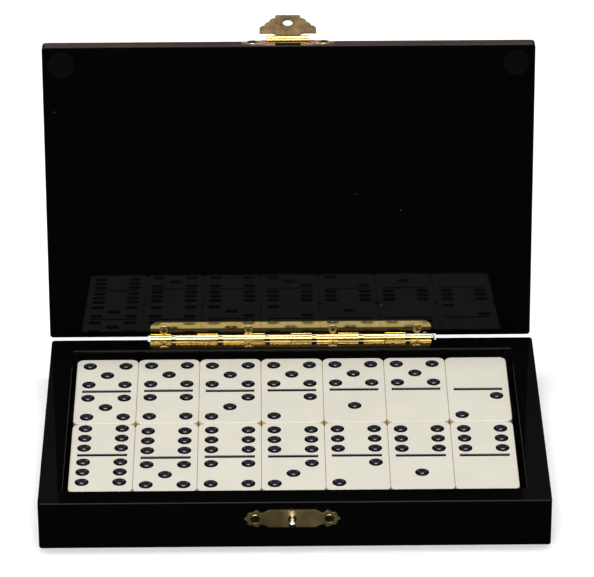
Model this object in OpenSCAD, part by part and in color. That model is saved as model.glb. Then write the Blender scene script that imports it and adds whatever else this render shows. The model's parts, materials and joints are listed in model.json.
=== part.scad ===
// Boxed double-six domino set: a flat hinged case with twenty-eight tiles in two layers.
// Millimetres. The origin is the middle of the underside of the base, +X runs to the right,
// +Y to the back and +Z up. The lid and hasp are drawn shut and turned to where they rest.

/* [Case] */
// Width of the case, left to right
case_w = 189.6; // [188:0.2:200]
// Depth of the case, front to back
case_d = 119.6; // [118:0.2:128]
// Height of the base
base_h = 19.4; // [19:0.2:24]
// Thickness of the four walls
wall_t = 8.8; // [8.6:0.1:9]
// Thickness of the floor panel
floor_t = 3; // [2:0.5:3]
// Thickness of the lid panel
lid_t = 6; // [5.6:0.2:8]
// Angle that the lid stands open
lid_open = 97.5; // [0:0.5:97.5]
// Diameter of the two pads inside the lid
pad_d = 10.2; // [8:0.2:12]

/* [Tiles] */
// Width of a tile
tile_w = 23.8; // [23:0.1:23.9]
// Length of a tile
tile_l = 47.7; // [46:0.1:48]
// Thickness of a tile
tile_t = 7; // [6:0.1:7.2]
// Distance between the middles of two neighbouring tiles
tile_pitch = 24; // [24:0.1:24.2]
// Distance between the middles of the front and back rows
row_pitch = 48.2; // [48.1:0.1:48.6]
// Corner radius of a tile, seen from above
tile_r = 2.7; // [1:0.1:4]
// Diameter of a pip
pip_d = 5; // [4:0.1:5.4]
// Depth of a pip
pip_depth = 0.7; // [0.4:0.1:1]
// Distance between neighbouring pips
pip_pitch = 7; // [6:0.1:7]
// Length of the line across the middle of a tile
line_l = 18.9; // [14:0.1:20]
// How far the pattern of the double six sits off the middle, toward the back
double_six_off = 1.7; // [0:0.1:1.8]

/* [Hinge] */
// Length of the hinge
hinge_l = 110.8; // [100:0.2:120]
// Width of one leaf, from the pin to its far edge
leaf_w = 7; // [6.8:0.1:7.6]
// Radius of the knuckles
knuckle_r = 1.95; // [1.8:0.05:2]
// Radius of the hinge pin
pin_r = 1.1; // [0.8:0.05:1.2]
// Number of knuckles
knuckles = 12; // [6:2:16]

/* [Hasp and catch] */
// Length of the hasp's plate and of the catch plate
plate_l = 35.6; // [34:0.2:40]
// Angle between the hasp's shut and flipped back positions
hasp_flip = 158; // [0:1:158]
// Height of the catch plate
catch_h = 7.2; // [7:0.2:9]
// Diameter of the catch's ball
ball_d = 2.8; // [2:0.1:3]
// Diameter of the hole that snaps over the ball
hasp_hole_d = 3.9; // [3.7:0.1:4.4]

/* [Hidden] */
$fn = 48;
eps = 0.01;

// Case
tray_w = case_w - 2 * wall_t;
tray_d = case_d - 2 * wall_t;
lid_gap = 0.45;
lid_z = base_h + lid_gap;
pad_t = lid_gap - 0.05;
pad_inset = 7.4;
// The lid stands a little past the base in front and sits a little to the left
lid_x = -0.75;
lid_front = -case_d / 2 - 1.1;

// Hinge axis, at the back edge of the base
hinge_y = case_d / 2 + 0.62;
hinge_z = base_h - 0.25;
leaf_t = 0.5;
leaf_off = 0.2;
leaf_corner = 2.5;
knuckle_groove = 2.05;
knuckle_gap = 0.3;
knuckle_play = 0.25;
pin_play = 0.05;
groove_r = knuckle_r + 0.35;
knuckle_l = (hinge_l - knuckles / 2 * knuckle_groove
             - (knuckles / 2 - 1) * knuckle_gap) / knuckles;
hinge_x = -0.5;

// Screws
screw_head_r = 1.8;
screw_seat_r = 1.3;
screw_r = 0.7;
screw_l = 5;
screw_dome = 0.15;
cross_w = 0.45;
cross_l = 2;
cross_depth = 0.4;
screw_play = 0.04;
hinge_screw_end = 5.4;
hinge_screw_off = 3.75;
hinge_screw_step = (hinge_l - 2 * hinge_screw_end) / 3;
plate_screw_x = 13.7;

// Hasp on the lid's front edge, and the catch below it
plate_t = 0.6;
hasp_x = -1;
hasp_r = 1.6;
hasp_pin_r = 0.8;
hasp_y = lid_front - hasp_r - 0.15;
hasp_z = lid_z + 2.1;
roll_w = 9.4;
roll_play = 0.15;
hasp_w = 16.6;
hasp_plate_h = 5.2;
hasp_waist = 4;
hasp_sheet_off = 0.5;
hasp_hole_z = 9.4;
wing_z = 3.3;
catch_z = hasp_z - hasp_hole_z;
catch_mid_w = 17.2;
catch_waist = 4.8;
stud_out = 3.7;
stud_r = 0.85;
stud_depth = 4;

// Tiles
line_w = 1.4;
line_depth = 0.5;
tile_play = 0.05;
block_x = -0.25;
block_y = 0.1;
cols = 7;
pip_ball_r = (pow(pip_d / 2, 2) + pow(pip_depth, 2)) / (2 * pip_depth);
half_y = 12;

// Far and near half of every tile, from left to right, in each row of each layer
TOP_BACK = [for (n = [5:-1:0]) [5, n]];
TOP_FRONT = [for (n = [6:-1:0]) [6, n]];
UNDER = [for (a = [4:-1:0]) for (b = [a:-1:0]) if (a != 2 || b != 0) [a, b]];
// Each row: its tiles, its place in the depth (1 back, -1 front) and its layer (0 below, 1 above)
ROWS = [
    [concat(TOP_BACK, [[0, 2]]), 1, 1],
    [TOP_FRONT, -1, 1],
    [[for (i = [0:cols - 1]) UNDER[i]], 1, 0],
    [[for (i = [cols:2 * cols - 1]) UNDER[i]], -1, 0]
];

CASE = ["base_floor", "base_front_wall", "base_back_wall", "base_left_wall", "base_right_wall",
        "lid_panel", "lid_pad_left", "lid_pad_right"];
HINGE = ["hinge_leaf_base", "hinge_leaf_lid", "hinge_pin"];
HASP = ["hasp_plate", "hasp_leaf", "hasp_pin", "hasp_screw_left", "hasp_screw_right",
        "catch_plate", "catch_stud", "catch_screw_left", "catch_screw_right"];
HINGE_SCREWS = [for (leaf = ["base", "lid"]) for (i = [1:4]) str("hinge_screw_", leaf, "_", i)];
TILES = [for (row = ROWS) for (t = row[0]) tile_name(t)];

function tile_name(t) = str("tile_", max(t), "_", min(t));
function hinge_screw_x(i) = hinge_x - hinge_l / 2 + hinge_screw_end + (i - 1) * hinge_screw_step;
// Start of knuckle i along the hinge: a wide groove and a thin gap take turns between knuckles
function knuckle_x(i) = hinge_x - hinge_l / 2 + i * knuckle_l
    + floor((i + 1) / 2) * knuckle_groove + floor(i / 2) * knuckle_gap;
// Pips of one half as steps right and back from its middle
function pips(n) = concat(
    n % 2 == 1 ? [[0, 0]] : [],
    n >= 2 ? [[1, 1], [-1, -1]] : [],
    n >= 4 ? [[-1, 1], [1, -1]] : [],
    n == 6 ? [[-1, 0], [1, 0]] : []);

// Shapes that repeat ---------------------------------------------------------------

module round_rect(w, h, r) {
    square([w - 2 * r, h], center = true);
    square([w, h - 2 * r], center = true);
    for (x = [-1, 1], y = [-1, 1]) {
        translate([x * (w / 2 - r), y * (h / 2 - r)]) circle(r = r);
    }
}

// A rod along X, from x0 on
module rod(x0, l, r) {
    translate([x0, 0, 0]) rotate([0, 90, 0]) cylinder(r = r, h = l);
}

// A flat outline on an upright front face, growing towards the front
module on_front(t) {
    rotate([90, 0, 0]) linear_extrude(t) children();
}

// Head up, with the face that it sits on at z = 0
module screw() {
    difference() {
        union() {
            translate([0, 0, -leaf_t]) cylinder(r1 = screw_seat_r, r2 = screw_head_r, h = leaf_t);
            cylinder(r1 = screw_head_r, r2 = screw_seat_r, h = screw_dome);
            translate([0, 0, -screw_l]) cylinder(r = screw_r, h = screw_l - leaf_t + eps);
            translate([0, 0, -screw_l - 1]) cylinder(r1 = 0.1, r2 = screw_r, h = 1);
        }
        for (a = [0, 90]) {
            rotate([0, 0, a]) translate([-cross_l / 2, -cross_w / 2, screw_dome - cross_depth])
                cube([cross_l, cross_w, 2 * cross_depth]);
        }
    }
}

// The room that a screw needs: its seat in a plate of thickness t and its hole behind it
module screw_room(t) {
    translate([0, 0, -t - eps]) cylinder(r = screw_seat_r + screw_play, h = t);
    translate([0, 0, -leaf_t]) cylinder(r1 = screw_seat_r + screw_play,
                                        r2 = screw_head_r + screw_play, h = leaf_t + eps);
}

module screw_pilot() {
    translate([0, 0, -screw_l - 1.1]) cylinder(r = screw_r + screw_play, h = screw_l + 1.2);
}

// The shut lid turned to where it rests
module lid_place() {
    translate([0, hinge_y, hinge_z]) rotate([-lid_open, 0, 0])
        translate([0, -hinge_y, -hinge_z]) children();
}

// Positions, each with the screw's head facing out ---------------------------------

module at_base_screw(i) {
    translate([hinge_screw_x(i), hinge_y - hinge_screw_off, hinge_z - leaf_off]) children();
}

module at_lid_screw(i) {
    translate([hinge_screw_x(i), hinge_y - hinge_screw_off, hinge_z + leaf_off])
        rotate([180, 0, 0]) children();
}

module at_hasp_screw(side) {
    translate([hasp_x + side * plate_screw_x, lid_front - plate_t, lid_z + lid_t / 2])
        rotate([90, 0, 0]) children();
}

module at_catch_screw(side) {
    translate([hasp_x + side * plate_screw_x, -case_d / 2 - plate_t, catch_z])
        rotate([90, 0, 0]) children();
}

// The rounded trench that lets the knuckles into the wood
module knuckle_trench() {
    translate([0, hinge_y, hinge_z]) rod(hinge_x - hinge_l / 2 - 1, hinge_l + 3, groove_r);
}

// Base -----------------------------------------------------------------------------

// One mitred wall, l long and lying along the front
module wall(l) {
    linear_extrude(base_h)
        polygon([[-l / 2, 0], [l / 2, 0], [l / 2 - wall_t, wall_t], [-l / 2 + wall_t, wall_t]]);
}

module base_floor() {
    color("#15130f") translate([-tray_w / 2, -tray_d / 2, 0]) cube([tray_w, tray_d, floor_t]);
}

module base_front_wall() {
    color("#0b0b0b") difference() {
        translate([0, -case_d / 2, 0]) wall(case_w);
        for (side = [-1, 1]) {
            at_catch_screw(side) screw_pilot();
        }
        translate([hasp_x, -case_d / 2 - eps, catch_z]) rotate([-90, 0, 0])
            cylinder(r = stud_r + screw_play, h = stud_depth + 0.1);
    }
}

module base_back_wall() {
    color("#0b0b0b") difference() {
        translate([0, case_d / 2, 0]) rotate([0, 0, 180]) wall(case_w);
        knuckle_trench();
        translate([hinge_x - hinge_l / 2 - 0.1, hinge_y - leaf_w - 0.1, hinge_z - leaf_off - leaf_t])
            cube([hinge_l + 0.2, leaf_w + 0.1, leaf_t + 1]);
        for (i = [1:4]) {
            at_base_screw(i) screw_pilot();
        }
    }
}

module base_left_wall() {
    color("#0b0b0b") translate([-case_w / 2, 0, 0]) rotate([0, 0, -90]) wall(case_d);
}

module base_right_wall() {
    color("#0b0b0b") translate([case_w / 2, 0, 0]) rotate([0, 0, 90]) wall(case_d);
}

// Lid ------------------------------------------------------------------------------

module lid_panel() {
    color("#0b0b0b") lid_place() difference() {
        translate([lid_x - case_w / 2, lid_front, lid_z])
            cube([case_w, case_d / 2 - lid_front, lid_t]);
        knuckle_trench();
        for (i = [1:4]) {
            at_lid_screw(i) screw_pilot();
        }
        for (side = [-1, 1]) {
            at_hasp_screw(side) screw_pilot();
        }
    }
}

module lid_pad(side) {
    color("#1d1c1b") lid_place()
        translate([lid_x + side * (case_w / 2 - pad_inset), lid_front + pad_inset, lid_z - pad_t])
            cylinder(d = pad_d, h = pad_t);
}

// Hinge ----------------------------------------------------------------------------

// One leaf of the hinge with its own knuckles: those from first on, every second one.
// side is -1 for the leaf under the pin and 1 for the leaf above it.
module hinge_leaf(first, side) {
    z0 = side > 0 ? leaf_off : -leaf_off - leaf_t;
    x0 = hinge_x - hinge_l / 2;
    near = knuckle_r + knuckle_play;
    difference() {
        union() {
            translate([x0, -leaf_w + leaf_corner, z0])
                cube([hinge_l, leaf_w - leaf_corner - near, leaf_t]);
            translate([x0 + leaf_corner, -leaf_w, z0])
                cube([hinge_l - 2 * leaf_corner, leaf_w - near, leaf_t]);
            for (x = [x0 + leaf_corner, x0 + hinge_l - leaf_corner]) {
                translate([x, -leaf_w + leaf_corner, z0]) cylinder(r = leaf_corner, h = leaf_t);
            }
            for (i = [first:2:knuckles - 1]) {
                translate([knuckle_x(i), -near - 0.5, z0]) cube([knuckle_l, near + 0.5, leaf_t]);
                rod(knuckle_x(i), knuckle_l, knuckle_r);
            }
        }
        rod(hinge_x - hinge_l, 2 * hinge_l, pin_r + pin_play);
    }
}

module hinge_leaf_base() {
    color("#c9a23a") difference() {
        translate([0, hinge_y, hinge_z]) hinge_leaf(1, -1);
        for (i = [1:4]) {
            at_base_screw(i) screw_room(leaf_t);
        }
    }
}

module hinge_leaf_lid() {
    color("#c9a23a") lid_place() difference() {
        translate([0, hinge_y, hinge_z]) hinge_leaf(0, 1);
        for (i = [1:4]) {
            at_lid_screw(i) screw_room(leaf_t);
        }
    }
}

module hinge_pin() {
    color("#d8b24a") translate([0, hinge_y, hinge_z]) {
        rod(hinge_x - hinge_l / 2, hinge_l + 0.5, pin_r);
        translate([hinge_x + hinge_l / 2 + 0.5, 0, 0]) sphere(r = pin_r);
    }
}

module hinge_screw_base(i) {
    color("#b8963c") at_base_screw(i) screw();
}

module hinge_screw_lid(i) {
    color("#b8963c") lid_place() at_lid_screw(i) screw();
}

// Hasp and catch -------------------------------------------------------------------

// A plate on an upright front face: its middle is mid wide and h high, then comes a waist, and
// at each end a scalloped head with two lobes above its screw, two below, and a point
module screw_plate(mid, h, waist) {
    slope = 2.2;
    tip = plate_l / 2 - plate_screw_x;
    on_front(plate_t) square([mid, h], center = true);
    on_front(plate_t) square([2 * plate_screw_x - 1, waist], center = true);
    for (side = [0, 1]) {
        mirror([side, 0, 0]) {
            on_front(plate_t) polygon([[mid / 2 - 1, h / 2], [mid / 2, h / 2],
                [mid / 2 + slope, waist / 2], [mid / 2 + slope, -waist / 2],
                [mid / 2, -h / 2], [mid / 2 - 1, -h / 2]]);
            translate([plate_screw_x, 0, 0]) on_front(plate_t) {
                circle(r = max(0.4 * h, screw_head_r + 0.5));
                for (up = [-1, 1]) {
                    translate([-0.08 * h, up * 0.31 * h]) circle(r = 0.17 * h);
                    translate([0.24 * h, up * 0.2 * h]) circle(r = 0.16 * h);
                }
                polygon([[0.2 * h, 0.3 * h], [tip, 0], [0.2 * h, -0.3 * h]]);
            }
        }
    }
}

module hasp_plate() {
    color("#a8853a") lid_place() difference() {
        union() {
            translate([hasp_x, lid_front, lid_z + lid_t / 2])
                screw_plate(hasp_w, hasp_plate_h, hasp_waist);
            translate([hasp_x, hasp_y, hasp_z]) for (side = [-1, 1]) {
                mirror([side < 0 ? 1 : 0, 0, 0])
                    rod(roll_w / 2 + roll_play, hasp_w / 2 - roll_w / 2 - roll_play, hasp_r);
            }
        }
        translate([hasp_x - roll_w / 2 - roll_play, lid_front - plate_t - 1, lid_z - 1])
            cube([roll_w + 2 * roll_play, plate_t + 2, hasp_z + hasp_r + 1.2 - lid_z]);
        translate([hasp_x, hasp_y, hasp_z]) rod(-hasp_w, 2 * hasp_w, hasp_pin_r + pin_play);
        for (side = [-1, 1]) {
            at_hasp_screw(side) screw_room(plate_t);
        }
    }
}

// Outline of the swinging leaf, hanging down from the pin: four scallops on each side
module hasp_outline() {
    neck_w = roll_w;
    fillet = 1.6;
    // Width, far end and corner radius of each step, from the wings to the free end
    steps = [[21.8, 7.6, 1.8], [18, 9.9, 2.3], [14.4, 12.1, 2.2], [9.8, 13.9, 0.8]];
    translate([-neck_w / 2, -wing_z - 1]) square([neck_w, wing_z + 1]);
    for (s = steps) {
        translate([0, -s[1] + (s[1] - wing_z) / 2]) intersection() {
            translate([0, s[2]]) round_rect(s[0], s[1] - wing_z + 2 * s[2], s[2]);
            square([s[0], s[1] - wing_z], center = true);
        }
    }
    for (side = [-1, 1]) {
        mirror([side < 0 ? 1 : 0, 0]) difference() {
            translate([neck_w / 2 - eps, -wing_z - eps]) square([fillet, fillet]);
            translate([neck_w / 2 + fillet, -wing_z + fillet]) circle(r = fillet);
        }
    }
}

module hasp_leaf() {
    color("#8a6c40") lid_place() translate([hasp_x, hasp_y, hasp_z]) rotate([-hasp_flip, 0, 0])
        difference() {
            union() {
                translate([0, hasp_sheet_off + plate_t / 2, 0]) on_front(plate_t) hasp_outline();
                rod(-roll_w / 2, roll_w, hasp_r);
            }
            rod(-roll_w, 2 * roll_w, hasp_pin_r + pin_play);
            translate([0, hasp_sheet_off + plate_t, -hasp_hole_z]) on_front(2 * plate_t)
                circle(d = hasp_hole_d);
        }
}

module hasp_pin() {
    color("#d8b24a") lid_place() translate([hasp_x, hasp_y, hasp_z])
        rod(-hasp_w / 2, hasp_w, hasp_pin_r);
}

module hasp_screw(side) {
    color("#b8963c") lid_place() at_hasp_screw(side) screw();
}

module catch_plate() {
    color("#7a6233") difference() {
        translate([hasp_x, -case_d / 2, catch_z])
            screw_plate(catch_mid_w, catch_h, catch_waist);
        translate([hasp_x, -case_d / 2 + eps, catch_z]) on_front(2 * plate_t)
            circle(r = stud_r + screw_play);
        for (side = [-1, 1]) {
            at_catch_screw(side) screw_room(plate_t);
        }
    }
}

// Pin with a collar and a ball, driven through the catch plate into the wall
module catch_stud() {
    color("#c8c2b4") translate([hasp_x, -case_d / 2 - plate_t, catch_z]) rotate([90, 0, 0]) {
        translate([0, 0, -stud_depth]) cylinder(r = stud_r, h = stud_depth + stud_out);
        translate([0, 0, stud_out]) sphere(d = ball_d);
    }
}

module catch_screw(side) {
    color("#7a6233") at_catch_screw(side) screw();
}

// Tiles ----------------------------------------------------------------------------

// One half's pips, each a shallow hollow in the upper face
module pip_hollows(n) {
    for (p = pips(n)) {
        translate([p[0] * pip_pitch, p[1] * pip_pitch, tile_t + pip_ball_r - pip_depth])
            sphere(r = pip_ball_r);
    }
}

module tile(t) {
    off = t == [6, 6] ? double_six_off : 0;
    difference() {
        linear_extrude(tile_t) round_rect(tile_w, tile_l, tile_r);
        translate([0, off + half_y, 0]) pip_hollows(t[0]);
        translate([0, off - half_y, 0]) pip_hollows(t[1]);
        translate([-line_l / 2, off - line_w / 2, tile_t - line_depth])
            cube([line_l, line_w, 2 * line_depth]);
    }
}

// Tile i of a row, where it lies in the tray
module placed_tile(row, i) {
    color("#ded9cb") translate([block_x + (i - (cols - 1) / 2) * tile_pitch,
                                block_y + row[1] * row_pitch / 2,
                                floor_t + tile_play + row[2] * (tile_t + tile_play)])
        tile(row[0][i]);
}

// The whole set --------------------------------------------------------------------

base_floor();
base_front_wall();
base_back_wall();
base_left_wall();
base_right_wall();
lid_panel();
lid_pad(-1);  // lid_pad_left
lid_pad(1);  // lid_pad_right
hinge_leaf_base();
hinge_leaf_lid();
hinge_pin();
hasp_plate();
hasp_leaf();
hasp_pin();
hasp_screw(-1);  // hasp_screw_left
hasp_screw(1);  // hasp_screw_right
catch_plate();
catch_stud();
catch_screw(-1);  // catch_screw_left
catch_screw(1);  // catch_screw_right
for (i = [1:4]) {
    hinge_screw_base(i);
    hinge_screw_lid(i);
}
for (row = ROWS, i = [0:cols - 1]) {
    placed_tile(row, i);
}
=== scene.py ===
"""Looks of the boxed double-six domino set: lacquered case, brass fittings, ivory tiles."""
import json
import math
import random

import bmesh
import bpy
from mathutils import Matrix, Vector


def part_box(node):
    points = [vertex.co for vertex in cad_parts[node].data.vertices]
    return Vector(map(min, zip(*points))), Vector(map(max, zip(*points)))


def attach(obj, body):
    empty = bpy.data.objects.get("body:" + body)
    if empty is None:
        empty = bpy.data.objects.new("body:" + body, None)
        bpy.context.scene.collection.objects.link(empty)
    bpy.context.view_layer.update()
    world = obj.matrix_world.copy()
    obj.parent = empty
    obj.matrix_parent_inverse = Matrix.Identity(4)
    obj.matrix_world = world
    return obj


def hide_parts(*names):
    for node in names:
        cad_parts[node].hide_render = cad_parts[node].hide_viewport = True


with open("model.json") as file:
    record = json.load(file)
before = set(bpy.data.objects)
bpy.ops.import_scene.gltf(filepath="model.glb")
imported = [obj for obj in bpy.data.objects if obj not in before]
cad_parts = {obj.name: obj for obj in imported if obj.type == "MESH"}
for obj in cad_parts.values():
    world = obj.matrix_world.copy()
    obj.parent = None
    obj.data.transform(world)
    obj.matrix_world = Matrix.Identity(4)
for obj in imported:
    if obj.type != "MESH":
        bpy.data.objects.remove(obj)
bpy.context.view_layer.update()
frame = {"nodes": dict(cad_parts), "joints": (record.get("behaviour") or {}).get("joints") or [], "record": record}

MM = 0.001
SCENE = bpy.context.scene

# ---------------------------------------------------------------- sizes taken from the frame
JOINTS = {j["name"]: j for j in frame["joints"]}
RECORD = frame["record"]
HINGE_AXIS = Vector(JOINTS["lid_hinge"]["pos_m"])
LID_OPEN = math.radians(-JOINTS["lid_hinge"]["range_deg"][0])
BODY_OF = {n: body for body, nodes in RECORD["behaviour"]["bodies"].items() for n in nodes}
SLOT_OF = {p["node"]: p["material_slot"] for p in RECORD["subparts"]}

# Turns a piece drawn with the lid shut to where the open lid rests
LID_REST = (Matrix.Translation(HINGE_AXIS) @ Matrix.Rotation(-LID_OPEN, 4, "X")
            @ Matrix.Translation(-HINGE_AXIS))


def shut_box(node):
    """Lowest and highest corner of a node of the lid, with the lid swung shut."""
    back = LID_REST.inverted()
    points = [back @ v.co for v in frame["nodes"][node].data.vertices]
    low = Vector([min(p[i] for p in points) for i in range(3)])
    high = Vector([max(p[i] for p in points) for i in range(3)])
    return low, high


# ---------------------------------------------------------------- driving sizes of the looks
CASE_EDGE = 0.45 * MM       # rounding of the lacquered edges
CASE_CORNER = 1.3 * MM      # rounding of the case's upright corners
TRAY_CORNER = 0.6 * MM
TILE_EDGE = 0.4 * MM
TILE_CORNER = 2.7 * MM
TILE_SNUG = (0.14 * MM, 0.36 * MM)      # tiles lie closer together than the drawn clearance
PIP_R = 2.55 * MM
PIP_DEPTH = 1.4 * MM
PIP_LIP = 0.1 * MM
PIP_PITCH = 7 * MM
HALF_MIDDLE = 12 * MM       # from a tile's middle to the middle of its half
LINE_SIZE = (18.9 * MM, 1.85 * MM)
LINE_DEPTH = 0.22 * MM
LINE_CORNER = 0.35 * MM
WANDER = (0.15 * MM, 0.3 * MM)          # how far a pattern may sit off its tile's middle
PAD_EDGE = 0.3 * MM
SEAT_PLAY = 0.1 * MM        # room round the base leaf in its mortise
KNUCKLE_PLAY = 0.35 * MM    # room round the hinge barrel in the wood
LEAF_UNDER = 0.7 * MM       # underside of the base leaf, below the hinge axis
LEAF_EASE = 0.12 * MM       # easing of the edges of the brass
HASP_EASE = 0.1 * MM
HINGE_ROLL = 2.05 * MM      # how far the rolled brass reaches from its axis
HASP_ROLL = 1.7 * MM
SCREW_DOME = 0.15 * MM
SCREW_HEAD_R = 1.8 * MM
SCREW_SEAT_R = 1.3 * MM
SCREW_SHANK_R = 0.7 * MM
SCREW_SHANK = 5 * MM
SLOT_SIZE = (2.1 * MM, 0.52 * MM)
SLOT_FLOOR = -0.4 * MM
STUD_NECK_R = 0.85 * MM
STUD_SHANK = 4 * MM

# ---------------------------------------------------------------- camera
CAMERA_PLACE = Vector((-9.3, -1238.4, 776.6)) * MM
CAMERA_DOWN = math.radians(29.5)
CAMERA_YAW = math.radians(-0.5)
CAMERA_ROLL = math.radians(0.17)
CAMERA_LENS = 230.5


def make_camera():
    data = bpy.data.cameras.new("camera")
    data.lens = CAMERA_LENS
    data.sensor_width = 36
    data.clip_start = 0.05
    data.clip_end = 50
    camera = bpy.data.objects.new("camera", data)
    SCENE.collection.objects.link(camera)
    level = Matrix.Rotation(math.pi / 2 - CAMERA_DOWN, 4, "X")
    camera.matrix_world = (Matrix.Translation(CAMERA_PLACE) @ Matrix.Rotation(CAMERA_YAW, 4, "Z")
                           @ level @ Matrix.Rotation(-CAMERA_ROLL, 4, "Z"))
    SCENE.camera = camera


# ---------------------------------------------------------------- materials
class Shader:
    """A node tree with a Principled shader, and short calls for the nodes that feed it."""

    def __init__(self, name, **values):
        self.material = bpy.data.materials.new(name)
        self.material.use_nodes = True
        self.tree = self.material.node_tree
        self.main = self.tree.nodes["Principled BSDF"]
        for socket, value in values.items():
            self.main.inputs[socket.replace("_", " ")].default_value = value
        self.place = self.node("ShaderNodeTexCoord").outputs["Object"]

    def node(self, kind, **settings):
        made = self.tree.nodes.new(kind)
        for key, value in settings.items():
            setattr(made, key, value)
        return made

    def link(self, source, target):
        self.tree.links.new(source, target)

    def stretched(self, scale):
        mapping = self.node("ShaderNodeMapping")
        mapping.inputs["Scale"].default_value = scale
        self.link(self.place, mapping.inputs["Vector"])
        return mapping.outputs["Vector"]

    def noise(self, scale, detail=3, rough=0.5, stretch=(1, 1, 1)):
        made = self.node("ShaderNodeTexNoise")
        made.inputs["Scale"].default_value = scale
        made.inputs["Detail"].default_value = detail
        made.inputs["Roughness"].default_value = rough
        self.link(self.stretched(stretch), made.inputs["Vector"])
        return made.outputs["Fac"]

    def specks(self, scale, size):
        """1 inside small round spots, one at most in each cell, and 0 elsewhere."""
        made = self.node("ShaderNodeTexVoronoi")
        made.inputs["Scale"].default_value = scale
        self.link(self.place, made.inputs["Vector"])
        return self.ramp(made.outputs["Distance"], (size * 0.5, size), (1, 0))

    def ramp(self, source, stops, values):
        made = self.node("ShaderNodeMapRange", interpolation_type="SMOOTHSTEP")
        made.inputs["From Min"].default_value = stops[0]
        made.inputs["From Max"].default_value = stops[1]
        made.inputs["To Min"].default_value = values[0]
        made.inputs["To Max"].default_value = values[1]
        self.link(source, made.inputs["Value"])
        return made.outputs["Result"]

    def product(self, a, b):
        made = self.node("ShaderNodeMath", operation="MULTIPLY")
        self.link(a, made.inputs[0])
        self.link(b, made.inputs[1])
        return made.outputs["Value"]

    def mix(self, factor, first, second):
        made = self.node("ShaderNodeMix", data_type="RGBA")
        self.link(factor, made.inputs["Factor"])
        for socket, colour in ((made.inputs["A"], first), (made.inputs["B"], second)):
            if isinstance(colour, tuple):
                socket.default_value = (*colour, 1)
            else:
                self.link(colour, socket)
        return made.outputs["Result"]

    def colour(self, source):
        self.link(source, self.main.inputs["Base Color"])

    def rough(self, source, low, high):
        self.link(self.ramp(source, (0.3, 0.7), (low, high)), self.main.inputs["Roughness"])

    def bump(self, source, height, strength=1.0):
        made = self.node("ShaderNodeBump")
        made.inputs["Strength"].default_value = strength
        made.inputs["Distance"].default_value = height
        self.link(source, made.inputs["Height"])
        self.link(made.outputs["Normal"], self.main.inputs["Normal"])

    def around_hinge(self, inner, outer):
        """1 between two distances from the hinge axis, fading out beyond them."""
        away = self.node("ShaderNodeVectorMath", operation="DISTANCE")
        self.link(self.stretched((0, 1, 1)), away.inputs[0])
        away.inputs[1].default_value = (0, HINGE_AXIS.y, HINGE_AXIS.z)
        near = self.ramp(away.outputs["Value"], (inner - 0.1 * MM, inner + 0.1 * MM), (0, 1))
        far = self.ramp(away.outputs["Value"], (outer - 0.3 * MM, outer + 0.3 * MM), (1, 0))
        return self.product(near, far)

    def upward(self):
        """How far a surface faces up, from 0 on a side to 1 on top."""
        split = self.node("ShaderNodeSeparateXYZ")
        self.link(self.node("ShaderNodeNewGeometry").outputs["Normal"], split.inputs[0])
        made = self.node("ShaderNodeMath", operation="ABSOLUTE")
        self.link(split.outputs["Z"], made.inputs[0])
        return made.outputs["Value"]


def lacquer():
    """Deep black gloss lacquer with faint orange peel and haze, and a few dust specks."""
    s = Shader("black_lacquer", IOR=1.24)
    s.rough(s.noise(35, 4, 0.6), 0.025, 0.045)
    dust = s.product(s.specks(95, 0.035), s.ramp(s.noise(22, 1), (0.5, 0.56), (0, 1)))
    s.colour(s.mix(dust, (0.0014, 0.0014, 0.0016), (0.07, 0.066, 0.062)))
    s.bump(s.noise(420, 2), 0.004 * MM, 0.35)
    return s.material


def edge_painted_reflection():
    """The lid's edge, painted brown-grey as a painted reflection of what the edge mirrors, with streaks along the
    grain.
    """
    s = Shader("lid_edge_painted_reflection", Roughness=0.4, IOR=1.5)
    grain = s.noise(260, 4, 0.6, (0.06, 1, 1))
    streaks = s.ramp(grain, (0.35, 0.7), (0, 1))
    s.colour(s.mix(streaks, (0.028, 0.017, 0.012), (0.055, 0.038, 0.03)))
    s.bump(grain, 0.01 * MM, 0.4)
    return s.material


def ivory():
    """Cream plastic, with the sides painted a little warmer than the top as painted glow of light through the
    plastic where the tiles meet.
    """
    s = Shader("tile_ivory", IOR=1.5, Subsurface_Weight=0.12, Subsurface_Scale=0.8 * MM)
    s.main.inputs["Subsurface Radius"].default_value = (1.0, 0.6, 0.35)
    cloud = s.ramp(s.noise(55, 3, 0.55), (0.35, 0.65), (0, 1))
    face = s.mix(cloud, (0.62, 0.595, 0.515), (0.65, 0.62, 0.53))
    grain = s.ramp(s.noise(900, 2), (0.3, 0.7), (0, 1))
    # Painted glow: the sides get a warmer, lighter tone than the top, standing in for light passing through the
    # plastic into the gaps.
    side = s.mix(grain, (0.76, 0.62, 0.42), (0.69, 0.56, 0.36))
    s.colour(s.mix(s.ramp(s.upward(), (0.12, 0.6), (0, 1)), side, face))
    s.rough(s.noise(70, 3), 0.16, 0.26)
    s.bump(s.noise(180, 2), 0.006 * MM, 0.3)
    return s.material


def pip_paint():
    """Glossy blue-black enamel."""
    s = Shader("pip_enamel", IOR=1.4)
    s.colour(s.mix(s.noise(500, 2), (0.003, 0.003, 0.006), (0.007, 0.007, 0.012)))
    s.rough(s.noise(800, 2), 0.05, 0.12)
    s.bump(s.noise(700, 2), 0.01 * MM, 0.25)
    return s.material


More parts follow.
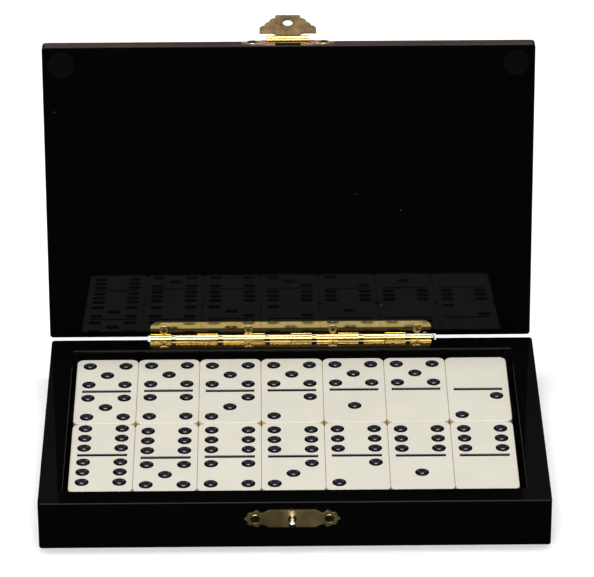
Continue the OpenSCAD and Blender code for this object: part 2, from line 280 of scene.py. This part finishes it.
def brass(name, bright, dull, rough, tarnish, streak=(1, 1, 1), painted_dark_band=None, metallic=1.0):
    """Brass with patches of tarnish and small stains, drawn out along streak.

    rough is the range of the roughness and tarnish the range of the noise that turns bright into
    dull. The dark band is a pair of distances from the hinge axis, between which the brass is
    painted darker as a painted dark reflection.
    """
    s = Shader(name, Metallic=metallic)
    patch = s.ramp(s.noise(140, 5, 0.65), tarnish, (0, 1))
    spots = s.specks(700, 0.16)
    colour = s.mix(patch, bright, dull)
    colour = s.mix(spots, colour, tuple(0.55 * c for c in dull))
    # Painted dark reflection: a band round the hinge axis is darkened to 0.17 of the dull tone.
    if painted_dark_band:
        colour = s.mix(s.around_hinge(*painted_dark_band), colour, tuple(0.17 * c for c in dull))
    s.colour(colour)
    s.rough(s.noise(260, 4, 0.6, streak), *rough)
    s.bump(s.noise(1500, 3, 0.6, streak), 0.006 * MM, 0.15)
    return s.material


def pad_felt():
    """Dark bumper: short pile with lint in it."""
    s = Shader("pad_felt", Roughness=0.8, Specular_IOR_Level=0.04)
    fibres = s.noise(2600, 4, 0.7)
    lint = s.ramp(fibres, (0.45, 0.7), (0, 1))
    s.colour(s.mix(lint, (0.0015, 0.0015, 0.0015), (0.006, 0.0057, 0.0054)))
    s.bump(fibres, 0.08 * MM, 0.8)
    return s.material


def floor_paper():
    s = Shader("floor_paper", Roughness=0.9, Emission_Color=(1, 1, 1, 1), Emission_Strength=0.12)
    s.colour(s.mix(s.noise(6, 3), (0.9, 0.9, 0.9), (0.93, 0.93, 0.925)))
    return s.material


LACQUER = lacquer()
LID_EDGE_REFLECTION = edge_painted_reflection()
IVORY = ivory()
ENAMEL = pip_paint()
FELT = pad_felt()
DRAWN = (0.05, 1, 1)        # streaks along the hinge
# The lid leaf gets a painted dark reflection band from 2.1 to 4.5 mm off the hinge axis.
LID_LEAF = brass("hinge_brass", (0.66, 0.52, 0.21), (0.46, 0.34, 0.13), (0.04, 0.12), (0.52, 0.75),
                 DRAWN, painted_dark_band=(2.1 * MM, 4.5 * MM))
BASE_LEAF = brass("base_leaf", (0.32, 0.25, 0.115), (0.21, 0.16, 0.07), (0.1, 0.22), (0.52, 0.75),
                  DRAWN)
# Painted highlight: the hinge knuckles get a brighter copy of the hinge brass; its greater roughness is the
# metal's own.
KNUCKLE_BRASS_LIT = brass("knuckle_brass_painted_highlight", (0.86, 0.68, 0.29), (0.6, 0.44, 0.17), (0.16, 0.27),
                      (0.5, 0.72), DRAWN)
HASP_BRASS = brass("hasp_brass", (0.93, 0.72, 0.28), (0.6, 0.42, 0.17), (0.2, 0.33), (0.5, 0.75))
DULL_BRASS = brass("dull_brass", (0.8, 0.62, 0.27), (0.55, 0.42, 0.19), (0.34, 0.46), (0.4, 0.65),
                   metallic=0.95)
BRONZE = brass("bronze", (0.3, 0.2, 0.095), (0.2, 0.13, 0.062), (0.24, 0.36), (0.35, 0.65))
COPPER = brass("copper_brown", (0.5, 0.31, 0.22), (0.32, 0.2, 0.13), (0.4, 0.55), (0.4, 0.7),
               metallic=0.55)
SCREW_BRASS = brass("screw_brass", (0.85, 0.68, 0.34), (0.45, 0.31, 0.14), (0.12, 0.3), (0.5, 0.75))
DARK_SCREW = brass("dark_screw", (0.5, 0.37, 0.17), (0.24, 0.16, 0.075), (0.16, 0.32), (0.42, 0.7))
# Painted shade: a near-black brass for the cross recess of the screws.
RECESS_SHADE = brass("recess_painted_shade", (0.13, 0.09, 0.042), (0.06, 0.042, 0.02), (0.5, 0.7), (0.4, 0.7))
STUD_METAL = brass("stud_metal", (0.85, 0.8, 0.7), (0.6, 0.52, 0.38), (0.06, 0.14), (0.55, 0.8))
MATERIAL_OF_NODE = {"hasp_leaf": BRONZE, "hasp_plate": COPPER, "hinge_leaf_base": BASE_LEAF}
MATERIAL_OF_SLOT = {
    "tile": IVORY, "lacquer": LACQUER, "tray_floor": LACQUER, "pad": FELT,
    "hinge_brass": LID_LEAF, "hasp_brass": HASP_BRASS, "dull_brass": DULL_BRASS,
    "stud": STUD_METAL,
}


# ---------------------------------------------------------------- mesh helpers
def add_object(name, mesh):
    made = bpy.data.objects.new(name, mesh)
    SCENE.collection.objects.link(made)
    return made


def settle(piece):
    """Turns a piece's modifiers into plain geometry."""
    done = bpy.data.meshes.new_from_object(
        piece.evaluated_get(bpy.context.evaluated_depsgraph_get()))
    piece.modifiers.clear()
    piece.data = done


def finish_piece(piece, node, extra=(), sharp=35):
    """Gives a piece its materials, chosen by its node's slot, its shading and body, in place of the node it stands
    for.
    """
    mesh = piece.data
    if not mesh.materials:
        for material in (MATERIAL_OF_NODE.get(node, MATERIAL_OF_SLOT[SLOT_OF[node]]), *extra):
            mesh.materials.append(material)
    for face in mesh.polygons:
        face.use_smooth = True
    mesh.set_sharp_from_angle(angle=math.radians(sharp))
    weigh = piece.modifiers.new("flat_faces_rule", "WEIGHTED_NORMAL")
    weigh.keep_sharp = True
    weigh.weight = 80
    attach(piece, BODY_OF[node])
    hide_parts(node)
    return piece


def piece_from(bm, name, matrix=None):
    bmesh.ops.recalc_face_normals(bm, faces=bm.faces)
    if matrix is not None:
        bm.transform(matrix)
    mesh = bpy.data.meshes.new(name)
    bm.to_mesh(mesh)
    bm.free()
    return add_object(name, mesh)


def weld(mesh, reach):
    """Joins points that lie closer than reach, and drops the faces that fold up between them."""
    bm = bmesh.new()
    bm.from_mesh(mesh)
    bmesh.ops.remove_doubles(bm, verts=bm.verts, dist=reach)
    bmesh.ops.dissolve_degenerate(bm, edges=bm.edges, dist=0.1 * reach)
    bm.to_mesh(mesh)
    bm.free()


def cut(piece, cutter):
    """Takes the cutter's shape away from a piece, and the cutter itself away."""
    made = piece.modifiers.new("cut", "BOOLEAN")
    made.operation = "DIFFERENCE"
    made.solver = "EXACT"
    made.object = cutter
    settle(piece)
    bpy.data.objects.remove(cutter)


def bridge(bm, first, second, closed=True, material=0):
    """Quads between two rings of the same length."""
    count = len(first)
    for i in range(count if closed else count - 1):
        j = (i + 1) % count
        bm.faces.new((first[i], first[j], second[j], second[i])).material_index = material


def ring(bm, points):
    return [bm.verts.new(p) for p in points]


def rounded_rect(half_x, half_y, radius, steps=6):
    """Points round a rectangle with round corners, anticlockwise from the right-hand front."""
    points = []
    for k, (sx, sy) in enumerate(((1, -1), (1, 1), (-1, 1), (-1, -1))):
        start = -math.pi / 2 + k * math.pi / 2
        for i in range(steps + 1):
            a = start + i / steps * math.pi / 2
            points.append((sx * (half_x - radius) + radius * math.cos(a),
                           sy * (half_y - radius) + radius * math.sin(a)))
    return points


def quarter(radius, steps=4):
    """A rounded edge as (inset, drop) pairs, from the side of a slab to its face."""
    angles = [i / steps * math.pi / 2 for i in range(steps + 1)]
    return [(radius * (1 - math.cos(a)), radius * (1 - math.sin(a))) for a in angles]


def slab_rings(bm, half_x, half_y, corner, low, high, edge, steps=6):
    """Rings of a slab with rounded edges, from its lower face up to its upper one."""
    levels = [(inset, low + drop) for inset, drop in reversed(quarter(edge))]
    levels += [(inset, high - drop) for inset, drop in quarter(edge)]
    rings = []
    for inset, z in levels:
        radius = max(corner - inset, 0.05 * MM)
        outline = rounded_rect(half_x - inset, half_y - inset, radius, steps)
        rings.append(ring(bm, [(x, y, z) for x, y in outline]))
    for a, b in zip(rings, rings[1:]):
        bridge(bm, a, b)
    return rings


def lathe(bm, profile, turns=32, axis="Z"):
    """Turns (radius, height) pairs round an axis. A radius of 0 closes the end."""
    first = None
    for radius, height in profile:
        if radius == 0:
            now = [bm.verts.new((0, 0, height))]
        else:
            now = ring(bm, [(radius * math.cos(2 * math.pi * i / turns),
                             radius * math.sin(2 * math.pi * i / turns), height)
                            for i in range(turns)])
        if first is not None:
            if len(first) == 1 or len(now) == 1:
                tip, loop = (first[0], now) if len(first) == 1 else (now[0], first)
                for i in range(turns):
                    bm.faces.new((tip, loop[i], loop[(i + 1) % turns]))
            else:
                bridge(bm, first, now)
        first = now
    if axis == "X":
        bm.transform(Matrix.Rotation(math.pi / 2, 4, "Y"))
    elif axis == "-Y":
        bm.transform(Matrix.Rotation(math.pi / 2, 4, "X"))


def rod(name, x0, x1, radius, centre):
    bm = bmesh.new()
    lathe(bm, [(0, x0), (radius, x0), (radius, x1), (0, x1)], 40, "X")
    return piece_from(bm, name, Matrix.Translation(centre))


def brick(name, low, high):
    bm = bmesh.new()
    bmesh.ops.create_cube(bm, size=1)
    middle = (Vector(low) + Vector(high)) / 2
    size = Vector(high) - Vector(low)
    return piece_from(bm, name, Matrix.Translation(middle) @ Matrix.Diagonal((*size, 1)))


# ---------------------------------------------------------------- tiles
FLIPPED = {"tile_2_0"}      # lies with its smaller half at the back
OFF_CENTRE = {"tile_6_6": 1.7 * MM, "tile_6_5": -0.4 * MM}


def pips(number):
    """Steps right and back from the middle of a half."""
    steps = [(0, 0)] if number % 2 else []
    if number >= 2:
        steps += [(1, 1), (-1, -1)]
    if number >= 4:
        steps += [(-1, 1), (1, -1)]
    if number == 6:
        steps += [(-1, 0), (1, 0)]
    return steps


def pip_profile():
    """(radius, depth) rings of a pip, from the flat face over a small lip down the bowl."""
    ball = (PIP_R ** 2 + PIP_DEPTH ** 2) / (2 * PIP_DEPTH)
    rim = math.asin(PIP_R / ball)
    lip = [(PIP_R + PIP_LIP, 0), (PIP_R + 0.4 * PIP_LIP, 0.12 * PIP_LIP)]
    bowl = [(ball * math.sin(rim * k / 7), ball * math.cos(rim * k / 7) - (ball - PIP_DEPTH))
            for k in range(7, 0, -1)]
    return lip, [(r, d + 0.35 * PIP_LIP) for r, d in bowl], PIP_DEPTH + 0.35 * PIP_LIP


def sink_pip(bm, centre, top, turns=28):
    """One painted hollow. Returns the ring of it that lies in the face."""
    lip, bowl, deepest = pip_profile()
    rings = []
    for radius, depth in lip + bowl:
        rings.append(ring(bm, [(centre[0] + radius * math.cos(2 * math.pi * i / turns),
                                centre[1] + radius * math.sin(2 * math.pi * i / turns),
                                top - depth) for i in range(turns)]))
    for a, b in zip(rings, rings[1:]):
        bridge(bm, a, b, material=1)
    pole = bm.verts.new((centre[0], centre[1], top - deepest))
    for i in range(turns):
        bm.faces.new((rings[-1][i], rings[-1][(i + 1) % turns], pole)).material_index = 1
    return rings[0]


def sink_line(bm, centre, top):
    """The painted groove across the middle. Returns the ring of it that lies in the face."""
    half_x, half_y = LINE_SIZE[0] / 2, LINE_SIZE[1] / 2
    levels = [(0, 0), (0.02 * MM, 0.03 * MM), (0.15 * MM, LINE_DEPTH)]
    rings = []
    for inset, depth in levels:
        outline = rounded_rect(half_x - inset, half_y - inset, LINE_CORNER, 3)
        rings.append(ring(bm, [(centre[0] + x, centre[1] + y, top - depth) for x, y in outline]))
    for a, b in zip(rings, rings[1:]):
        bridge(bm, a, b, material=1)
    bm.faces.new(rings[-1]).material_index = 1
    return rings[0]


def fill_face(bm, loops):
    """Fills a flat face between its outer ring and the rings of its holes."""
    edges = [bm.edges.get((loop[i - 1], loop[i])) for loop in loops for i in range(len(loop))]
    bmesh.ops.triangle_fill(bm, use_beauty=True, use_dissolve=False, edges=edges, normal=(0, 0, 1))


def make_tile(node):
    low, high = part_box(node)
    high_half, low_half = (int(n) for n in node.split("_")[1:])
    if node in FLIPPED:
        high_half, low_half = low_half, high_half
    wander = random.Random(node)
    shift = Vector([wander.uniform(-reach, reach) for reach in WANDER])
    shift.y = OFF_CENTRE.get(node, shift.y)
    size, centre = high - low + Vector((*TILE_SNUG, 0)), (low + high) / 2
    bm = bmesh.new()
    rings = slab_rings(bm, size.x / 2, size.y / 2, TILE_CORNER, 0, size.z, TILE_EDGE, 8)
    bm.faces.new(reversed(rings[0]))
    holes = [sink_line(bm, shift, size.z)]
    for number, side in ((high_half, 1), (low_half, -1)):
        for x, y in pips(number):
            spot = shift + Vector((x * PIP_PITCH, side * HALF_MIDDLE + y * PIP_PITCH))
            holes.append(sink_pip(bm, spot, size.z))
    fill_face(bm, [rings[-1]] + holes)
    piece = piece_from(bm, node + "_body", Matrix.Translation((centre.x, centre.y, low.z)))
    finish_piece(piece, node, (ENAMEL,), sharp=50)


# ---------------------------------------------------------------- case
def wall_profile(thick, height):
    """Closed outline of a wall as (inset, height) pairs, with rounded upper and lower edges."""
    points = [(inset, drop) for inset, drop in reversed(quarter(0.5 * CASE_EDGE))]
    points += [(inset, height - drop) for inset, drop in quarter(CASE_EDGE)]
    points += [(thick - inset, height - drop) for inset, drop in reversed(quarter(CASE_EDGE))]
    return points + [(thick, 0)]


def make_wall(node, side):
    """One mitred wall. Sides run anticlockwise: 0 right, 1 back, 2 left, 3 front."""
    low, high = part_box("base_front_wall")
    half_x, height, thick = high.x, high.z, high.y - low.y
    half_y = -low.y
    steps = 6
    per_corner = steps + 1
    bm = bmesh.new()
    strips = []
    for inset, z in wall_profile(thick, height):
        corner = max(CASE_CORNER - inset, TRAY_CORNER)
        outline = rounded_rect(half_x - inset, half_y - inset, corner, steps)
        first = side * per_corner + steps // 2
        count = per_corner + 1
        strips.append(ring(bm, [(*outline[(first + i) % len(outline)], z) for i in range(count)]))
    for a, b in zip(strips, strips[1:] + strips[:1]):
        bridge(bm, a, b, closed=False)
    for end in (0, -1):
        bm.faces.new([strip[end] for strip in strips])
    piece = piece_from(bm, node + "_body")
    if node == "base_back_wall":
        cut_hinge_seat(piece)
    finish_piece(piece, node)


def knuckle_trench():
    low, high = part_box("hinge_leaf_base")
    radius = high.z - HINGE_AXIS.z + KNUCKLE_PLAY
    return rod("trench", low.x - 1 * MM, high.x + 2 * MM, radius, (0, HINGE_AXIS.y, HINGE_AXIS.z))


def cut_hinge_seat(piece):
    low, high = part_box("hinge_leaf_base")
    cut(piece, knuckle_trench())
    cut(piece, brick("mortise",
                     (low.x - SEAT_PLAY, low.y - SEAT_PLAY, HINGE_AXIS.z - LEAF_UNDER),
                     (high.x + SEAT_PLAY, HINGE_AXIS.y, HINGE_AXIS.z + 3 * MM)))


def make_lid():
    low, high = shut_box("lid_panel")
    bm = bmesh.new()
    half, middle = (high - low) / 2, (high + low) / 2
    rings = slab_rings(bm, half.x, half.y, CASE_CORNER, -half.z, half.z, CASE_EDGE)
    bm.faces.new(reversed(rings[0]))
    bm.faces.new(rings[-1])
    piece = piece_from(bm, "lid_panel_body", Matrix.Translation(middle))
    cut(piece, knuckle_trench())
    piece.data.transform(LID_REST)
    piece.data.materials.clear()
    for material in (LACQUER, LID_EDGE_REFLECTION):
        piece.data.materials.append(material)
    # The lid's outward edge face takes the painted brown reflection.
    out = (LID_REST.to_3x3() @ Vector((0, -1, 0))).normalized()
    for face in piece.data.polygons:
        face.material_index = int(face.normal.dot(out) > 0.95)
    finish_piece(piece, "lid_panel")


def make_pad(node):
    low, high = shut_box(node)
    radius, thick = (high.x - low.x) / 2, high.z - low.z
    profile = [(0, 0.12 * MM), (radius * 0.7, 0.05 * MM)]
    profile += [(radius - inset, drop) for inset, drop in reversed(quarter(PAD_EDGE))]
    profile += [(radius, thick), (0, thick)]
    bm = bmesh.new()
    lathe(bm, profile, 48)
    centre = (low + high) / 2
    place = LID_REST @ Matrix.Translation((centre.x, centre.y, low.z))
    finish_piece(piece_from(bm, node + "_body", place), node)


# ---------------------------------------------------------------- brass
def soften(node, width, segments=2):
    """The node's own shape with every hard edge eased, as stamped and tumbled brass has."""
    bm = bmesh.new()
    bm.from_mesh(frame["nodes"][node].data)
    bmesh.ops.remove_doubles(bm, verts=bm.verts, dist=0.002 * MM)
    bmesh.ops.dissolve_limit(bm, angle_limit=math.radians(2), verts=bm.verts, edges=bm.edges)
    piece = piece_from(bm, node + "_body")
    ease = piece.modifiers.new("ease", "BEVEL")
    ease.width = width
    ease.segments = segments
    ease.limit_method = "ANGLE"
    ease.angle_limit = math.radians(42)
    settle(piece)
    weld(piece.data, 0.002 * MM)
    piece.data.materials.clear()
    return finish_piece(piece, node)


def paint_roll_highlight(piece, joint, reach, material):
    """Gives the rolled knuckles round a joint's axis a second material, brighter than their sheet as a painted
    highlight.
    """
    piece.data.materials.append(material)
    axis = Vector(JOINTS[joint]["pos_m"]).yz
    verts = piece.data.vertices
    for face in piece.data.polygons:
        if all((verts[i].co.yz - axis).length < reach for i in face.vertices):
            face.material_index = 1


def screw_place(node):
    """Where a screw's seat is and which way its head faces."""
    if node.startswith("hinge_screw_base"):
        low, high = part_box(node)
        seat = ((low.x + high.x) / 2, (low.y + high.y) / 2, high.z - SCREW_DOME)
        return Matrix.Translation(seat)
    if node.startswith("hinge_screw_lid"):
        low, high = shut_box(node)
        seat = ((low.x + high.x) / 2, (low.y + high.y) / 2, low.z + SCREW_DOME)
        return LID_REST @ Matrix.Translation(seat) @ Matrix.Rotation(math.pi, 4, "X")
    shut = node.startswith("hasp")
    low, high = shut_box(node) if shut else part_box(node)
    seat = ((low.x + high.x) / 2, low.y + SCREW_DOME, (low.z + high.z) / 2)
    facing = Matrix.Translation(seat) @ Matrix.Rotation(math.pi / 2, 4, "X")
    return LID_REST @ facing if shut else facing


def make_screw(node):
    """Domed head with a cross recess, a seat cone and a pointed shank."""
    head, dome, shank = SCREW_HEAD_R, SCREW_DOME, SCREW_SHANK_R
    profile = [(0, dome), (0.55 * head, 0.93 * dome), (0.82 * head, 0.6 * dome),
               (0.95 * head, 0.1 * dome), (head, -0.06 * MM), (0.98 * head, -0.12 * MM),
               (SCREW_SEAT_R, -0.5 * MM), (shank, -0.55 * MM), (shank, -SCREW_SHANK),
               (0, -SCREW_SHANK - 1 * MM)]
    bm = bmesh.new()
    lathe(bm, profile, 36)
    piece = piece_from(bm, node + "_body")
    turn = random.Random(node).uniform(0, math.pi / 2)
    for angle in (0, math.pi / 2):
        slot = brick("slot", (-SLOT_SIZE[0] / 2, -SLOT_SIZE[1] / 2, SLOT_FLOOR),
                     (SLOT_SIZE[0] / 2, SLOT_SIZE[1] / 2, 0.5 * MM))
        slot.data.transform(Matrix.Rotation(angle + turn, 4, "Z"))
        cut(piece, slot)
    piece.data.materials.clear()
    for material in (DARK_SCREW if node.startswith("hinge") else SCREW_BRASS, RECESS_SHADE):
        piece.data.materials.append(material)
    # Faces sunk in the cross recess take the painted shade.
    for face in piece.data.polygons:
        inside = face.center.xy.length < 1.1 * MM and face.center.z > -0.45 * MM
        sunk = abs(face.normal.z) < 0.5 or face.center.z < -0.3 * MM
        face.material_index = int(inside and sunk)
    piece.data.transform(screw_place(node))
    finish_piece(piece, node)


def make_stud():
    """Shank, collar, waisted neck and polished ball."""
    low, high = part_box("catch_stud")
    ball = (high.z - low.z) / 2
    plate_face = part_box("catch_plate")[0].y
    out = plate_face - (low.y + ball)
    neck = STUD_NECK_R
    profile = [(0, -STUD_SHANK), (neck, -STUD_SHANK), (neck, 0),
               (1.6 * MM, 0), (1.6 * MM, 0.12 * MM), (1.45 * MM, 0.2 * MM),
               (neck, 0.28 * MM), (neck, out - 0.78 * ball)]
    for k in range(3, 13):
        a = math.pi * k / 12
        profile.append((ball * math.sin(a), out - ball * math.cos(a)))
    profile[-1] = (0, out + ball)
    bm = bmesh.new()
    lathe(bm, profile, 36, "-Y")
    seat = ((low.x + high.x) / 2, plate_face, (low.z + high.z) / 2)
    finish_piece(piece_from(bm, "catch_stud_body", Matrix.Translation(seat)), "catch_stud")


def make_pin(node, low, high):
    """A drawn pin with rounded ends, along X in its box."""
    radius = (high.z - low.z) / 2
    ends = [(radius * math.sin(a), radius * (1 - math.cos(a)) * 0.6)
            for a in (math.pi / 2 * k / 5 for k in range(6))]
    profile = [(r, low.x + d) for r, d in ends] + [(r, high.x - d) for r, d in reversed(ends)]
    bm = bmesh.new()
    lathe(bm, profile, 32, "X")
    centre = (low + high) / 2
    return piece_from(bm, node + "_body", Matrix.Translation((0, centre.y, centre.z)))


def make_brass():
    for node in ("hinge_leaf_base", "hinge_leaf_lid"):
        paint_roll_highlight(soften(node, LEAF_EASE), "lid_hinge", HINGE_ROLL, KNUCKLE_BRASS_LIT)
    for node in ("hasp_plate", "hasp_leaf"):
        # The hasp rolls take the bright hasp brass, a painted highlight against the darker sheet.
        paint_roll_highlight(soften(node, HASP_EASE), "hasp_hinge", HASP_ROLL, HASP_BRASS)
    soften("catch_plate", LEAF_EASE)
    for node in BODY_OF:
        if "screw" in node:
            make_screw(node)
    make_stud()
    finish_piece(make_pin("hinge_pin", *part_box("hinge_pin")), "hinge_pin")
    pin = make_pin("hasp_pin", *shut_box("hasp_pin"))
    pin.data.transform(LID_REST)
    finish_piece(pin, "hasp_pin")


# ---------------------------------------------------------------- studio
# Grey of the room at each height, from 0 straight down to 1 straight up
WORLD_STOPS = ((0.4, 0.01), (0.55, 0.03), (0.75, 0.075), (0.92, 0.45), (1.0, 0.65))


def area_light(name, place, size, power):
    """A soft box that faces the middle of the case."""
    data = bpy.data.lights.new(name, "AREA")
    data.shape = "RECTANGLE"
    data.size, data.size_y = size
    data.energy = power
    light = bpy.data.objects.new(name, data)
    SCENE.collection.objects.link(light)
    light.location = place
    facing = Vector((0, 0, 0.03)) - light.location
    light.rotation_euler = facing.to_track_quat("-Z", "Y").to_euler()


def make_surroundings():
    """A dim grey room, darker toward the ground."""
    world = bpy.data.worlds.new("studio")
    world.use_nodes = True
    tree = world.node_tree
    split = tree.nodes.new("ShaderNodeSeparateXYZ")
    tree.links.new(tree.nodes.new("ShaderNodeTexCoord").outputs["Generated"], split.inputs[0])
    level = tree.nodes.new("ShaderNodeMapRange")
    level.inputs["From Min"].default_value = -1
    tree.links.new(split.outputs["Z"], level.inputs["Value"])
    ramp = tree.nodes.new("ShaderNodeValToRGB")
    tree.links.new(level.outputs["Result"], ramp.inputs["Fac"])
    for stop, (place, grey) in zip(ramp.color_ramp.elements, WORLD_STOPS):
        stop.position, stop.color = place, (grey, grey, grey, 1)
    for place, grey in WORLD_STOPS[2:]:
        ramp.color_ramp.elements.new(place).color = (grey, grey, grey, 1)
    tree.links.new(ramp.outputs["Color"], tree.nodes["Background"].inputs["Color"])
    SCENE.world = world


def make_studio():
    bm = bmesh.new()
    bmesh.ops.create_grid(bm, x_segments=2, y_segments=2, size=12)
    floor = piece_from(bm, "floor")
    floor.data.materials.append(floor_paper())
    floor.visible_glossy = False
    make_surroundings()
    area_light("key", (-0.25, -1.62, 1.2), (2.2, 0.5), 22)
    area_light("top", (0, 0.35, 1.63), (1.1, 0.4), 18)
    area_light("left", (-1.8, -0.3, 1.0), (0.9, 1.2), 7)
    area_light("right", (1.8, -0.3, 1.0), (0.9, 1.2), 7)


make_camera()
for side, wall in enumerate(("right", "back", "left", "front")):
    make_wall(f"base_{wall}_wall", side)
frame["nodes"]["base_floor"].data.materials.clear()
frame["nodes"]["base_floor"].data.materials.append(LACQUER)
make_lid()
make_pad("lid_pad_left")
make_pad("lid_pad_right")
make_brass()
for name in sorted(BODY_OF):
    if name.startswith("tile_"):
        make_tile(name)
make_studio()
SCENE.view_settings.view_transform = "Standard"
